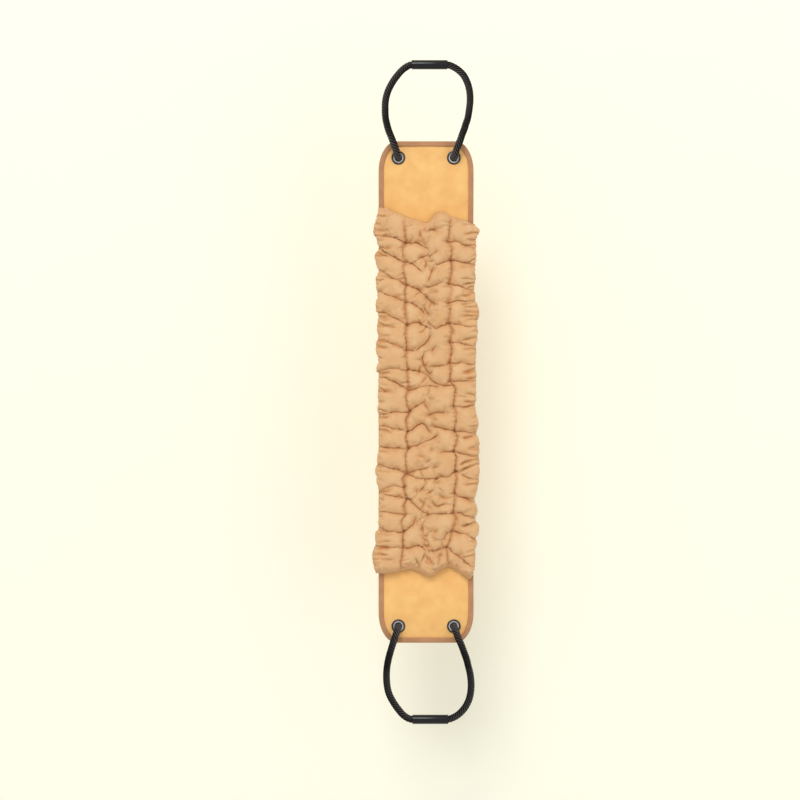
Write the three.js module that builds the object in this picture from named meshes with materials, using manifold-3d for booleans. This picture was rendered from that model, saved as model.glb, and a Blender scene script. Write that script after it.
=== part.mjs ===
// Ruffled back scrubber: a padded strap with a gathered mesh ruffle and a rope loop at each end.
// Millimetres, +Z up. The strap lies on its back along Y, with the origin under its middle.
import * as THREE from 'three';
import { mergeVertices } from 'three/addons/utils/BufferGeometryUtils.js';
import Module from 'manifold-3d';

// ---- Driving dimensions ----
const gap = 0.3;                 // clearance kept between pieces that touch
const padLength = 696;
const padWidth = 132;
const cornerWidth = 25;          // the pad's rounded corners are quarter ellipses
const cornerLength = 42;
const tapeThick = 0.7;           // binding tape that wraps the pad's edge
const tapeFace = 7;              // width of tape showing on the front and the back
const backThick = 1.5;
const foamThick = 5.5;
const frontThick = 1.5;
const flexY = 116;               // the strap bends across these two lines, at +Y and at -Y
const flexSlot = 2;              // half of the slot that stands for the bend
const flexLimit = 35;            // degrees that each end bends, towards the ruffle or away from it
const ropeRadius = 5.1;
const padRise = 12;              // the ends lie this much higher, on the rope that crosses under them
const riseStart = 200;
const riseEnd = 305;
const ruffleWidth = 142;
const ruffleLength = 516;
const ruffleHeight = 21;         // crest of the ruffle above the pad
const pleatPitch = ruffleLength / 20;
const pleatDepth = 4;
const seamX = [-29, 33];         // the two lengthwise seams that hold the ruffle down
const threadWidth = 1.2;
const threadThick = 0.5;
const eyeletX = 38.5;
const eyeletY = 325;
const eyeletHole = 6.25;         // radii of the metal eyelet
const eyeletBarrel = 7;
const eyeletFlange = 9.75;
const flangeThick = 1.2;
const washerThick = 1;
const rimRadius = 8.2;
const rimThick = 0.6;
const stubHeight = 8.4;          // the rope stands this far out of the eyelet before it turns over
const sleeveRadius = 6.5;
const sleeveBore = 5.6;
const sleeveLength = 50;
const sleeveY = 456.5;
const sleeveX = { upper: 5, lower: 6 };

// ---- Levels worked out from them, for the flat middle of the pad ----
const halfLength = padLength / 2;
const halfWidth = padWidth / 2;
const backLow = tapeThick + gap;
const backHigh = backLow + backThick;
const foamLow = backHigh + gap;
const foamHigh = foamLow + foamThick;
const frontLow = foamHigh + gap;
const frontHigh = frontLow + frontThick;
const tapeLow = frontHigh + gap;
const tapeHigh = tapeLow + tapeThick;
const ruffleLow = tapeHigh + gap;
const flexZ = tapeHigh / 2;
const panelInset = tapeThick + gap;
const washerHigh = padRise + backLow - gap;
const washerLow = washerHigh - washerThick;
const rimHigh = washerLow - gap;
const rimLow = rimHigh - rimThick;
const flangeLow = padRise + frontHigh + gap;
const flangeHigh = flangeLow + flangeThick;
const swingZ = flangeHigh + stubHeight;

// ---- Materials ----
const look = (color, roughness, metalness = 0) =>
  () => new THREE.MeshStandardMaterial({ color, roughness, metalness });
const panelLook = look('#f3bd77', 0.55);
const backLook = look('#eeb873', 0.6);
const foamLook = look('#f2e6c8', 0.9);
const tapeLook = look('#bd8861', 0.7);
const ruffleLook = look('#d9ac7b', 0.85);
const threadLook = look('#b9824f', 0.7);
const eyeletLook = look('#17181a', 0.3, 0.6);
const washerLook = look('#b9bcc0', 0.3, 1);
const ropeLook = look('#1b191b', 0.6);
const sleeveLook = look('#0f0f11', 0.2);

// ---- Helpers ----
const wasm = await Module();
wasm.setup();

function toSolid(geometry) {
  const bare = geometry.clone();
  bare.deleteAttribute('normal');
  bare.deleteAttribute('uv');
  const merged = mergeVertices(bare, 1e-4);
  return new wasm.Manifold(new wasm.Mesh({
    numProp: 3,
    vertProperties: new Float32Array(merged.attributes.position.array),
    triVerts: new Uint32Array(merged.index.array),
  }));
}

function toGeometry(solid) {
  const mesh = solid.getMesh();
  const geometry = new THREE.BufferGeometry();
  geometry.setAttribute('position', new THREE.BufferAttribute(mesh.vertProperties, 3));
  geometry.setIndex(new THREE.BufferAttribute(mesh.triVerts, 1));
  geometry.computeVertexNormals();
  return geometry;
}

function piece(name, geometry, makeLook) {
  const mesh = new THREE.Mesh(geometry, makeLook());
  mesh.name = name;
  return mesh;
}

function polygon(points) {
  return new THREE.Shape(points.map(([u, v]) => new THREE.Vector2(u, v)));
}

// An outline drawn in Y and Z, extruded along X across the given width.
function extrudeAcross(shape, width, steps = 1) {
  const geometry = new THREE.ExtrudeGeometry(shape, { depth: width, steps, bevelEnabled: false });
  geometry.translate(0, 0, -width / 2);
  const turn = new THREE.Matrix4().makeBasis(
    new THREE.Vector3(0, 1, 0), new THREE.Vector3(0, 0, 1), new THREE.Vector3(1, 0, 0));
  return geometry.applyMatrix4(turn);
}

// An outline drawn in X and Z, extruded along Y over the given length.
function extrudeAlong(shape, length) {
  const geometry = new THREE.ExtrudeGeometry(shape, { depth: length, bevelEnabled: false });
  return geometry.translate(0, 0, -length / 2).rotateX(Math.PI / 2);
}

// A ring or tube turned about Z from its outline in radius and height.
function turned(outline, sides) {
  const points = [...outline, outline[0]].map(([r, z]) => new THREE.Vector2(r, z));
  return new THREE.LatheGeometry(points, sides).rotateX(Math.PI / 2);
}

function tubeAlong(curve, steps) {
  const sides = 8;
  const section = [];
  for (let i = 0; i < sides; i += 1) {
    const angle = (2 * Math.PI * i) / sides;
    section.push([ropeRadius * Math.cos(angle), ropeRadius * Math.sin(angle)]);
  }
  return new THREE.ExtrudeGeometry(polygon(section), { steps, extrudePath: curve });
}

// ---- The pad's shape ----
// Height that the pad gains towards its end, where it lies on the crossing rope.
function rise(y) {
  const t = THREE.MathUtils.clamp((y - riseStart) / (riseEnd - riseStart), 0, 1);
  return padRise * t * t * (3 - 2 * t);
}

function stations(from, to) {
  const stops = [from];
  const count = 6;
  for (let i = 0; i <= count; i += 1) {
    const y = riseStart + ((riseEnd - riseStart) * i) / count;
    if (y > from && y < to) stops.push(y);
  }
  return [...stops, to];
}

// One layer of an end of the strap: flat, then rising, between two levels.
function risingLayer(low, high, from = flexY + flexSlot, to = halfLength + 1) {
  const stops = stations(from, to);
  const bottom = stops.map((y) => [y, low + rise(y)]);
  const top = stops.map((y) => [y, high + rise(y)]).reverse();
  return toSolid(extrudeAcross(polygon([...bottom, ...top]), 2 * padWidth));
}

// An upright prism of the pad's end outline, moved in from the edge all round.
function endPrism(inset) {
  const w = halfWidth - inset;
  const l = halfLength - inset;
  const cw = cornerWidth - inset;
  const cl = cornerLength - inset;
  const outline = new THREE.Shape();
  outline.moveTo(-w, 0);
  outline.lineTo(w, 0);
  outline.lineTo(w, l - cl);
  outline.absellipse(w - cw, l - cl, cw, cl, 0, Math.PI / 2, false, 0);
  outline.lineTo(-w + cw, l);
  outline.absellipse(-w + cw, l - cl, cw, cl, Math.PI / 2, Math.PI, false, 0);
  const height = 60;
  const prism = new THREE.ExtrudeGeometry(outline, { depth: height, bevelEnabled: false, curveSegments: 6 });
  return toSolid(prism.translate(0, 0, -height / 4));
}

function eyeletHoles() {
  const holes = [-eyeletX, eyeletX].map((x) => {
    const drill = new THREE.CylinderGeometry(eyeletBarrel + gap, eyeletBarrel + gap, 60, 16);
    return toSolid(drill.rotateX(Math.PI / 2).translate(x, eyeletY, 0));
  });
  return holes[0].add(holes[1]);
}

function endPanel(low, high) {
  return toGeometry(risingLayer(low, high).intersect(endPrism(panelInset)).subtract(eyeletHoles()));
}

function middlePanel(low, high) {
  const width = padWidth - 2 * panelInset;
  const length = 2 * (flexY - flexSlot);
  return new THREE.BoxGeometry(width, length, high - low).translate(0, 0, (low + high) / 2);
}

// ---- Binding tape: a strip folded round the edge, open towards the pad ----
function endBinding() {
  const outer = risingLayer(0, tapeHigh).intersect(endPrism(0));
  const hollow = risingLayer(tapeThick, tapeLow, flexY).intersect(endPrism(tapeThick));
  return toGeometry(outer.subtract(hollow).subtract(endPrism(tapeFace)));
}

function middleBinding() {
  const outer = halfWidth;
  const fold = halfWidth - tapeThick;
  const lip = halfWidth - tapeFace;
  const section = [
    [lip, 0], [outer, 0], [outer, tapeHigh], [lip, tapeHigh],
    [lip, tapeLow], [fold, tapeLow], [fold, tapeThick], [lip, tapeThick],
  ];
  return extrudeAlong(polygon(section), 2 * (flexY - flexSlot));
}

// ---- Ruffle: one body of puffed pleats, lower at its sides and pulled down at its two seams ----
function pleatHeight(y) {
  return ruffleHeight - pleatDepth * (1 - Math.abs(Math.sin((Math.PI * y) / pleatPitch)));
}

function fullness(x) {
  const side = Math.abs(x) / (ruffleWidth / 2);
  const seamWidth = 7;
  const dip = seamX.reduce((sum, s) => sum + Math.exp(-(((x - s) / seamWidth) ** 2)), 0);
  return (1 - 0.5 * side ** 6) * (1 - 0.35 * dip);
}

// The ends lean back from a bend line, so that they never meet when the strap folds.
function leanBack(z) {
  const lean = THREE.MathUtils.degToRad(flexLimit / 2 + 0.5);
  return 0.4 + (z - flexZ) * Math.tan(lean);
}

function ruffleGeometry(outline, mirror) {
  const steps = 8;
  const geometry = extrudeAcross(polygon(outline), ruffleWidth, steps);
  const place = geometry.attributes.position;
  for (let i = 0; i < place.count; i += 1) {
    const base = ruffleLow + rise(place.getY(i));
    const height = place.getZ(i) - base;
    place.setZ(i, base + height * fullness(mirror * place.getX(i)));
  }
  geometry.computeVertexNormals();
  return geometry;
}

function pleatStops(from, to) {
  const stops = [];
  const quarter = pleatPitch / 4;
  for (let i = Math.ceil(from / quarter); i * quarter <= to; i += 1) {
    stops.push(i * quarter);
  }
  return stops;
}

function endRuffle(mirror) {
  const crest = ruffleLow + ruffleHeight - pleatDepth;
  const start = flexY + leanBack(ruffleLow);
  const finish = ruffleLength / 2;
  const bottom = stations(start, finish).map((y) => [y, ruffleLow + rise(y)]);
  const top = pleatStops(flexY + leanBack(crest) + 1, finish - 3).reverse()
    .map((y) => [y, ruffleLow + rise(y) + pleatHeight(y)]);
  const shoulder = [flexY + leanBack(crest), crest];
  return ruffleGeometry([...bottom, ...top, shoulder], mirror);
}

function middleRuffle() {
  const crest = ruffleLow + ruffleHeight - pleatDepth;
  const foot = flexY - leanBack(ruffleLow);
  const head = flexY - leanBack(crest);
  const top = pleatStops(-head + 1, head - 1).reverse().map((y) => [y, ruffleLow + pleatHeight(y)]);
  const outline = [[-foot, ruffleLow], [foot, ruffleLow], [head, crest], ...top, [-head, crest]];
  return ruffleGeometry(outline, 1);
}

// ---- Stitching of the two seams, as it runs along the pad's back ----
function endThread(x) {
  const low = backLow - gap - threadThick;
  const strip = risingLayer(low, low + threadThick, flexY + flexSlot, ruffleLength / 2);
  const clip = new THREE.BoxGeometry(threadWidth, padLength, 60).translate(x, 0, 0);
  return toGeometry(strip.intersect(toSolid(clip)));
}

function middleThread(x) {
  const length = 2 * (flexY - flexSlot);
  const middle = backLow - gap - threadThick / 2;
  return new THREE.BoxGeometry(threadWidth, length, threadThick).translate(x, 0, middle);
}

// ---- Eyelet and washer, clinched through the pad ----
function eyelet() {
  const round = flangeThick / 2;
  return turned([
    [eyeletHole, rimLow], [rimRadius, rimLow], [rimRadius, rimHigh], [eyeletBarrel, rimHigh],
    [eyeletBarrel, flangeLow], [eyeletFlange, flangeLow], [eyeletFlange, flangeLow + round],
    [eyeletFlange - round, flangeHigh], [eyeletHole + round, flangeHigh], [eyeletHole, flangeHigh - round],
  ], 16);
}

function washer() {
  const bore = eyeletBarrel + gap;
  return turned([
    [bore, washerLow], [eyeletFlange, washerLow], [eyeletFlange, washerHigh], [bore, washerHigh],
  ], 16);
}

// ---- Rope: up out of both eyelets from one run that crosses under the pad's end ----
function crossingRope() {
  const turn = 8;
  const at = (x, z) => new THREE.Vector3(x, eyeletY, z);
  const path = new THREE.CurvePath();
  path.add(new THREE.LineCurve3(at(-eyeletX, swingZ), at(-eyeletX, ropeRadius + turn)));
  path.add(new THREE.QuadraticBezierCurve3(
    at(-eyeletX, ropeRadius + turn), at(-eyeletX, ropeRadius), at(turn - eyeletX, ropeRadius)));
  path.add(new THREE.LineCurve3(at(turn - eyeletX, ropeRadius), at(eyeletX - turn, ropeRadius)));
  path.add(new THREE.QuadraticBezierCurve3(
    at(eyeletX - turn, ropeRadius), at(eyeletX, ropeRadius), at(eyeletX, ropeRadius + turn)));
  path.add(new THREE.LineCurve3(at(eyeletX, ropeRadius + turn), at(eyeletX, swingZ)));
  let rope = toSolid(tubeAlong(path, 36));
  for (const x of [-eyeletX, eyeletX]) {
    const knuckle = new THREE.SphereGeometry(ropeRadius, 12, 8).translate(x, eyeletY, swingZ);
    rope = rope.add(toSolid(knuckle));
  }
  return toGeometry(rope);
}

// Each run leaves the pad beside its eyelet, arches over the pad's edge, lies on the surface
// and goes straight into the sleeve, where its end faces the other run's.
const ropeRuns = {
  upper_rope_left: [
    [-40.5, 331, 34], [-42.5, 336.5, 37.5], [-45, 343, 39], [-47.5, 349.5, 38], [-50, 356, 34],
    [-52.5, 363.5, 26.5], [-54.5, 372, 17.5], [-56.5, 382, 8.5], [-57, 393, 5.2], [-56.5, 406, 5.2],
    [-53.5, 418.5, 5.2], [-48, 430, 5.2], [-40.5, 441, 5.6], [-31.5, 450.5, 6.2], [-22, 456, 6.5],
    [-14, 456.5, 6.5], [4.5, 456.5, 6.5],
  ],
  upper_rope_right: [
    [41, 331, 34], [42.5, 336.5, 37.5], [45, 342.5, 39], [47.5, 349.5, 38], [49.5, 356, 34],
    [52.5, 363.5, 26.5], [55, 372, 17.5], [58, 381.5, 8.5], [60, 392.5, 5.2], [61.5, 405, 5.2],
    [61, 418.5, 5.2], [58, 431, 5.2], [52, 442.5, 5.6], [42.5, 451, 6.2], [32, 456, 6.5],
    [24, 456.5, 6.5], [5.5, 456.5, 6.5],
  ],
  lower_rope_left: [
    [-40.5, -331, 34], [-42.5, -336.5, 37.5], [-44.5, -342.5, 39], [-46.5, -349.5, 38],
    [-48.5, -356.5, 34], [-50.5, -364, 26.5], [-52.5, -373, 17.5], [-54, -382.5, 8.5],
    [-55, -394, 5.2], [-54.5, -406.5, 5.2], [-52, -419.5, 5.2], [-46.5, -431, 5.2],
    [-39, -442, 5.6], [-31, -451, 6.2], [-22, -456, 6.5], [-13, -456.5, 6.5], [5.5, -456.5, 6.5],
  ],
  lower_rope_right: [
    [41, -331, 34], [43, -336.5, 37.5], [45.5, -342.5, 39], [48.5, -349, 38], [51, -355.5, 34],
    [53.5, -363, 26.5], [56.5, -371.5, 17.5], [59, -381.5, 8.5], [61.5, -392, 5.2], [63, -405, 5.2],
    [62.5, -418, 5.2], [59.5, -430.5, 5.2], [53, -442, 5.6], [43.5, -451, 6.2], [33, -456, 6.5],
    [25, -456.5, 6.5], [6.5, -456.5, 6.5],
  ],
};

function ropeRun(name) {
  const points = ropeRuns[name].map((p) => new THREE.Vector3(...p));
  return tubeAlong(new THREE.CatmullRomCurve3(points, false, 'centripetal'), 20);
}

function sleeve() {
  const chamfer = 0.5;
  const end = sleeveLength / 2;
  return turned([
    [sleeveBore, -end], [sleeveRadius - chamfer, -end], [sleeveRadius, -end + 2 * chamfer],
    [sleeveRadius, end - 2 * chamfer], [sleeveRadius - chamfer, end], [sleeveBore, end],
  ], 16).rotateY(Math.PI / 2);
}

// ---- Assembly ----
const scrubber = new THREE.Group();

function addMiddle() {
  const left = piece('edge_binding_middle_left', middleBinding(), tapeLook);
  left.rotation.z = Math.PI;
  scrubber.add(
    piece('front_panel_middle', middlePanel(frontLow, frontHigh), panelLook),
    piece('foam_core_middle', middlePanel(foamLow, foamHigh), foamLook),
    piece('back_panel_middle', middlePanel(backLow, backHigh), backLook),
    piece('edge_binding_middle_right', middleBinding(), tapeLook),
    left,
    piece('ruffle_middle', middleRuffle(), ruffleLook),
    piece('seam_thread_middle_left', middleThread(seamX[0]), threadLook),
    piece('seam_thread_middle_right', middleThread(seamX[1]), threadLook),
  );
}

// Both ends are made alike; the lower one is turned half round, so its left and right change sides.
function addEnd(end) {
  const mirror = end === 'upper' ? 1 : -1;
  const group = new THREE.Group();
  group.rotation.z = mirror > 0 ? 0 : Math.PI;
  group.add(
    piece(`front_panel_${end}`, endPanel(frontLow, frontHigh), panelLook),
    piece(`foam_core_${end}`, endPanel(foamLow, foamHigh), foamLook),
    piece(`back_panel_${end}`, endPanel(backLow, backHigh), backLook),
    piece(`edge_binding_${end}`, endBinding(), tapeLook),
    piece(`ruffle_${end}`, endRuffle(mirror), ruffleLook),
    piece(`rope_crossing_${end}`, crossingRope(), ropeLook),
  );
  for (const [side, sign] of [['left', -1], ['right', 1]]) {
    const ring = piece(`eyelet_${end}_${side}`, eyelet(), eyeletLook);
    const backing = piece(`washer_${end}_${side}`, washer(), washerLook);
    ring.position.set(mirror * sign * eyeletX, eyeletY, 0);
    backing.position.copy(ring.position);
    const seam = seamX[sign < 0 ? 0 : 1];
    group.add(ring, backing, piece(`seam_thread_${end}_${side}`, endThread(mirror * seam), threadLook));
  }
  scrubber.add(group);
}

function addHandle(end) {
  const mirror = end === 'upper' ? 1 : -1;
  const tube = piece(`${end}_rope_sleeve`, sleeve(), sleeveLook);
  tube.position.set(sleeveX[end], mirror * sleeveY, sleeveRadius);
  scrubber.add(tube);
  for (const side of ['left', 'right']) {
    const name = `${end}_rope_${side}`;
    scrubber.add(piece(name, ropeRun(name), ropeLook));
  }
}

addMiddle();
for (const end of ['upper', 'lower']) {
  addEnd(end);
  addHandle(end);
}

export default scrubber;
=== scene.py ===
"""Ruffled back scrubber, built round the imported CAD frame: soft pad, gathered net ruffle, rope loops."""
import math

import bmesh
import bpy
import numpy as np
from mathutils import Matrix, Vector


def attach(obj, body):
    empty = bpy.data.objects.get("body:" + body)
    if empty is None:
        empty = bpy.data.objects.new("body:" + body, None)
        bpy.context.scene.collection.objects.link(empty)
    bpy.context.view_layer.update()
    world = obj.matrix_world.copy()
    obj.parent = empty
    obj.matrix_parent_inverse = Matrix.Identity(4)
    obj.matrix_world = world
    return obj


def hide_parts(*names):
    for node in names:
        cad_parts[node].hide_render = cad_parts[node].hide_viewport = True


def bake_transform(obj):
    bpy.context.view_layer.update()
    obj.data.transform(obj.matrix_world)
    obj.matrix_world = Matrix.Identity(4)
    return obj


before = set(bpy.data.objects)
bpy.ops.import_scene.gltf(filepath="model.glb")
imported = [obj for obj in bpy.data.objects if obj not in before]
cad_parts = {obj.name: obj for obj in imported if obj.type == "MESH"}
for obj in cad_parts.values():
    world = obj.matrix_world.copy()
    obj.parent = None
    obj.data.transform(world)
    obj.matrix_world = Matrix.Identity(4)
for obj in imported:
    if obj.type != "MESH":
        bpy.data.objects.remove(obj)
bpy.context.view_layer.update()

MM = 0.001

# ---- Sizes in millimetres, as in the CAD ----
HALF_LENGTH = 348
HALF_WIDTH = 66
CORNER = (25, 42)                # quarter-ellipse corners, across and along
FLEX_Y = 116
FLEX_LIMIT = 35                  # degrees that an end bends, up or down
RISE = 12
RISE_START, RISE_END = 200, 305
BACK_LEVELS = (1.0, 2.5)
FOAM_LEVELS = (2.8, 8.3)
FRONT_LEVELS = (8.6, 10.1)
TAPE_HIGH = 11.1
TAPE_FACE = 7
PANEL_INSET = 1.0
RUFFLE_LOW = 11.4
SEAM_X = (-29, 33)
EYELET = (38.5, 325)
EYELET_HOLE, EYELET_BARREL, EYELET_FLANGE = 6.25, 7.0, 9.75
FLANGE_LOW, FLANGE_HIGH = 22.4, 23.6
WASHER = (11.7, 12.7)
RIM = (10.8, 11.4, 8.2)
ROPE_RADIUS = 5.0
ROPE_STRANDS = 6
ROPE_BED = 5.1                   # height of the crossing rope's centreline
SLEEVE = {"upper": (5, 456.5), "lower": (6, -456.5)}
SLEEVE_RADIUS, SLEEVE_BORE, SLEEVE_LENGTH = 6.5, 5.6, 50
FLOOR_GAP = 10
ENDS = {"upper": 1, "lower": -1}
SIDES = {"left": -1, "right": 1}


# ---- Camera: straight above, with a long lens ----
def make_camera():
    view_height = 1.1126         # metres of the strap's level that the picture covers
    distance = 3.0
    data = bpy.data.cameras.new("camera")
    data.sensor_width = 36
    data.lens = data.sensor_width * distance / view_height
    camera = bpy.data.objects.new("camera", data)
    camera.location = (-0.0362, -0.0111, distance + 0.015)
    bpy.context.collection.objects.link(camera)
    bpy.context.scene.camera = camera


# ---- Mesh helpers ----
def add_object(name, verts, faces, uvs=None, smooth=True):
    mesh = bpy.data.meshes.new(name)
    mesh.from_pydata((np.asarray(verts, dtype=float) * MM).tolist(), [], faces)
    if uvs is not None:
        layer = mesh.uv_layers.new(name="uv")
        index = np.empty(len(mesh.loops), dtype=np.int32)
        mesh.loops.foreach_get("vertex_index", index)
        layer.data.foreach_set("uv", np.asarray(uvs, dtype=np.float32)[index].ravel())
    if smooth:
        mesh.shade_smooth()
    mesh.update()
    item = bpy.data.objects.new(name, mesh)
    bpy.context.collection.objects.link(item)
    return item


def loft(rings, close_section=True, close_path=False, caps=True):
    """Faces between rings of points: rings is an array of ring, point and coordinate."""
    count, size = rings.shape[:2]
    faces = []
    across = size if close_section else size - 1
    for i in range(count if close_path else count - 1):
        low = i * size
        high = ((i + 1) % count) * size
        for j in range(across):
            k = (j + 1) % size
            faces.append((low + j, low + k, high + k, high + j))
    if caps and close_section and not close_path:
        faces.append(tuple(reversed(range(size))))
        faces.append(tuple(range((count - 1) * size, count * size)))
    return rings.reshape(-1, 3), faces


def outward(item):
    """Turn the faces of a closed mesh outward."""
    work = bmesh.new()
    work.from_mesh(item.data)
    bmesh.ops.recalc_face_normals(work, faces=work.faces)
    work.to_mesh(item.data)
    work.free()


def turned(name, profile, centre, sides=48, axis="z"):
    """A ring turned about its axis from a closed profile of radius and height."""
    angles = np.linspace(0, 2 * math.pi, sides, endpoint=False)
    radius, height = np.array(profile, dtype=float).T
    rings = np.empty((sides, len(profile), 3))
    rings[..., 0] = np.outer(np.cos(angles), radius)
    rings[..., 1] = np.outer(np.sin(angles), radius)
    rings[..., 2] = height
    if axis == "x":
        rings = rings[..., [2, 0, 1]]
    verts, faces = loft(rings + np.array(centre, dtype=float), close_path=True)
    item = add_object(name, verts, faces)
    outward(item)
    return item


def rounded(points, radius, steps=4):
    """A closed profile with its corners rounded."""
    out = []
    pts = [np.array(p, dtype=float) for p in points]
    for i, corner in enumerate(pts):
        before, after = pts[i - 1], pts[(i + 1) % len(pts)]
        reach = min(radius, *(np.linalg.norm(p - corner) / 2.2 for p in (before, after)))
        start = corner + (before - corner) / np.linalg.norm(before - corner) * reach
        end = corner + (after - corner) / np.linalg.norm(after - corner) * reach
        for t in np.linspace(0, 1, steps + 1):
            out.append((1 - t) ** 2 * start + 2 * t * (1 - t) * corner + t ** 2 * end)
    return out


def smoothstep(t):
    t = np.clip(t, 0, 1)
    return t * t * (3 - 2 * t)


def rise(y):
    """Height that the pad gains towards its ends, where it lies on the crossing rope."""
    return RISE * smoothstep((np.abs(y) - RISE_START) / (RISE_END - RISE_START))


def noise2(u, v, seed):
    """Smooth seeded noise from -1 to 1 on a plane."""
    table = np.random.default_rng(seed).uniform(-1, 1, (256, 256))
    u, v = np.broadcast_arrays(np.asarray(u, dtype=float), np.asarray(v, dtype=float))
    iu, iv = np.floor(u).astype(int), np.floor(v).astype(int)
    fu, fv = smoothstep(u - iu), smoothstep(v - iv)
    at = lambda a, b: table[a % 256, b % 256]
    low = at(iu, iv) * (1 - fu) + at(iu + 1, iv) * fu
    high = at(iu, iv + 1) * (1 - fu) + at(iu + 1, iv + 1) * fu
    return low * (1 - fv) + high * fv


def half_width(y, inset=0.0):
    """Half of the pad's width at a distance along it, with its rounded corners."""
    across, along = CORNER[0] - inset, CORNER[1] - inset
    t = np.clip((np.abs(y) - (HALF_LENGTH - CORNER[1])) / along, 0, 1)
    return HALF_WIDTH - inset - across * (1 - np.sqrt(1 - t * t))


# ---- Rope ----
# Each run's route, as in the CAD: over the pad's edge, along the surface and into the sleeve.
# The first two points bring it up out of the eyelet.
ROPE_RUNS = {
    "upper_rope_left": [
        (-38.5, 325.2, 19), (-39.6, 327.4, 27), (-40.5, 331, 34), (-42.5, 336.5, 37.5), (-45, 343, 39),
        (-47.5, 349.5, 38), (-50, 356, 34), (-52.5, 363.5, 26.5), (-54.5, 372, 17.5),
        (-56.5, 382, 8.5), (-57, 393, 5.2), (-56.5, 406, 5.2), (-53.5, 418.5, 5.2), (-48, 430, 5.2),
        (-40.5, 441, 5.6), (-31.5, 450.5, 6.2), (-22, 456, 6.5), (-14, 456.5, 6.5), (4.5, 456.5, 6.5),
    ],
    "upper_rope_right": [
        (38.5, 325.2, 19), (39.6, 327.4, 27), (41, 331, 34), (42.5, 336.5, 37.5), (45, 342.5, 39),
        (47.5, 349.5, 38), (49.5, 356, 34), (52.5, 363.5, 26.5), (55, 372, 17.5), (58, 381.5, 8.5),
        (60, 392.5, 5.2), (61.5, 405, 5.2), (61, 418.5, 5.2), (58, 431, 5.2), (52, 442.5, 5.6),
        (42.5, 451, 6.2), (32, 456, 6.5), (24, 456.5, 6.5), (5.5, 456.5, 6.5),
    ],
    "lower_rope_left": [
        (-38.5, -325.2, 19), (-39.6, -327.4, 27), (-40.5, -331, 34), (-42.5, -336.5, 37.5),
        (-44.5, -342.5, 39), (-46.5, -349.5, 38), (-48.5, -356.5, 34), (-50.5, -364, 26.5),
        (-52.5, -373, 17.5), (-54, -382.5, 8.5), (-55, -394, 5.2), (-54.5, -406.5, 5.2),
        (-52, -419.5, 5.2), (-46.5, -431, 5.2), (-39, -442, 5.6), (-31, -451, 6.2), (-22, -456, 6.5),
        (-13, -456.5, 6.5), (5.5, -456.5, 6.5),
    ],
    "lower_rope_right": [
        (38.5, -325.2, 19), (39.6, -327.4, 27), (41, -331, 34), (43, -336.5, 37.5), (45.5, -342.5, 39),
        (48.5, -349, 38), (51, -355.5, 34), (53.5, -363, 26.5), (56.5, -371.5, 17.5),
        (59, -381.5, 8.5), (61.5, -392, 5.2), (63, -405, 5.2), (62.5, -418, 5.2), (59.5, -430.5, 5.2),
        (53, -442, 5.6), (43.5, -451, 6.2), (33, -456, 6.5), (25, -456.5, 6.5), (6.5, -456.5, 6.5),
    ],
}


def even_path(points, step=0.9):
    """A smooth curve through the points (centripetal Catmull-Rom), at even steps."""
    pts = np.array(points, dtype=float)
    pts = np.vstack([2 * pts[0] - pts[1], pts, 2 * pts[-1] - pts[-2]])
    dense = []
    for p0, p1, p2, p3 in zip(pts, pts[1:], pts[2:], pts[3:]):
        k1 = np.linalg.norm(p1 - p0) ** 0.5
        k2 = k1 + np.linalg.norm(p2 - p1) ** 0.5
        k3 = k2 + np.linalg.norm(p3 - p2) ** 0.5
        for t in np.linspace(k1, k2, 24, endpoint=False):
            a1 = (k1 - t) / k1 * p0 + t / k1 * p1
            a2 = (k2 - t) / (k2 - k1) * p1 + (t - k1) / (k2 - k1) * p2
            a3 = (k3 - t) / (k3 - k2) * p2 + (t - k2) / (k3 - k2) * p3
            b1 = (k2 - t) / k2 * a1 + t / k2 * a2
            b2 = (k3 - t) / (k3 - k1) * a2 + (t - k1) / (k3 - k1) * a3
            dense.append((k2 - t) / (k2 - k1) * b1 + (t - k1) / (k2 - k1) * b2)
    dense = np.array(dense + [pts[-2]])
    run = np.concatenate([[0], np.cumsum(np.linalg.norm(np.diff(dense, axis=0), axis=1))])
    stops = np.linspace(0, run[-1], max(2, round(run[-1] / step)) + 1)
    return np.stack([np.interp(stops, run, dense[:, i]) for i in range(3)], axis=1)


def carried_frames(path, first):
    """A pair of directions across the path at each point, carried along it without twisting."""
    tangents = np.gradient(path, axis=0)
    tangents /= np.linalg.norm(tangents, axis=1)[:, None]
    side = np.array(first, dtype=float)
    sides = []
    for tangent in tangents:
        side = side - tangent * np.dot(side, tangent)
        side = side / np.linalg.norm(side)
        sides.append(side)
    sides = np.array(sides)
    return sides, np.cross(tangents, sides)


def twisted_rope(name, path, first=(1, 0, 0)):
    """A laid rope: its section is six round strands, which turn as it goes along."""
    strands, lay, around = ROPE_STRANDS, 24.0, 60
    strand = ROPE_RADIUS / 3
    pitch_circle = ROPE_RADIUS - strand
    angles = np.linspace(0, 2 * math.pi, around, endpoint=False)
    sector = 2 * math.pi / strands
    off = (angles + sector / 2) % sector - sector / 2
    inside = np.sqrt(np.maximum(strand ** 2 - (pitch_circle * np.sin(off)) ** 2, 0))
    radius = np.maximum(pitch_circle * np.cos(off) + inside, 0.8 * ROPE_RADIUS)
    run = np.concatenate([[0], np.cumsum(np.linalg.norm(np.diff(path, axis=0), axis=1))])
    sides, ups = carried_frames(path, first)
    turn = angles[None, :] - 2 * math.pi * run[:, None] / lay
    rings = (path[:, None, :]
             + (radius * np.cos(turn))[..., None] * sides[:, None, :]
             + (radius * np.sin(turn))[..., None] * ups[:, None, :])
    verts, faces = loft(rings)
    along = np.repeat(run, around)
    uvs = np.stack([np.tile(angles / (2 * math.pi), len(path)), along / 100], axis=1)
    item = add_object(name, verts, faces, uvs)
    outward(item)
    return item


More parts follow.
